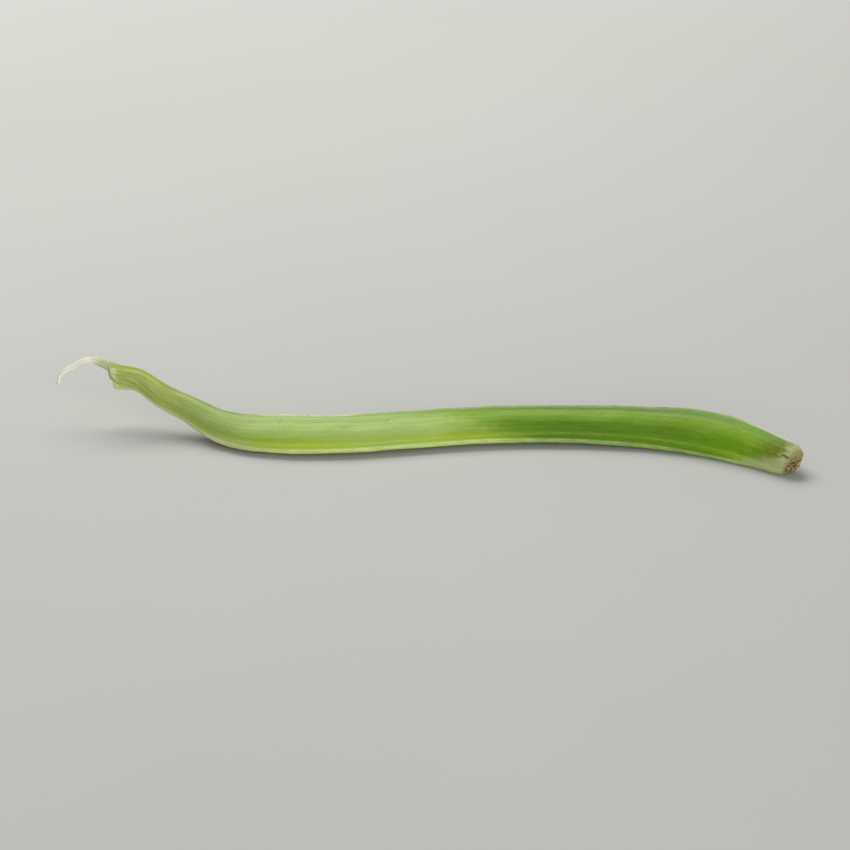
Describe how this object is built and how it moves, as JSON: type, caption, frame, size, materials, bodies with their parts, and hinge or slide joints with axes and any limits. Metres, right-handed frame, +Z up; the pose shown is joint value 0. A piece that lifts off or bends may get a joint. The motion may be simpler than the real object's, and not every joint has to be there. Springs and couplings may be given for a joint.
{
  "type": "cluster bean pod",
  "caption": "Slender curved guar pod, picked: ridged seams, faint seed swellings, a narrow stepped beak with a hooked dry style, and a stalk scar at its blunt end.",
  "frame": {"origin": "on the surface that the pod lies on, under the middle of its box", "axes": "+X along the pod towards its stalk scar, +Y towards the side that the double-ridged seam faces, +Z up from the surface it lies on"},
  "size_m": [0.1306, 0.0256, 0.0118],
  "materials": {
    "pod_skin": "fresh, slightly waxy green plant skin with pale ridges, a whitish dry style and a brown scar"
  },
  "bodies": {
    "root": {"pod": "pod_skin"}
  },
  "joints": []
}
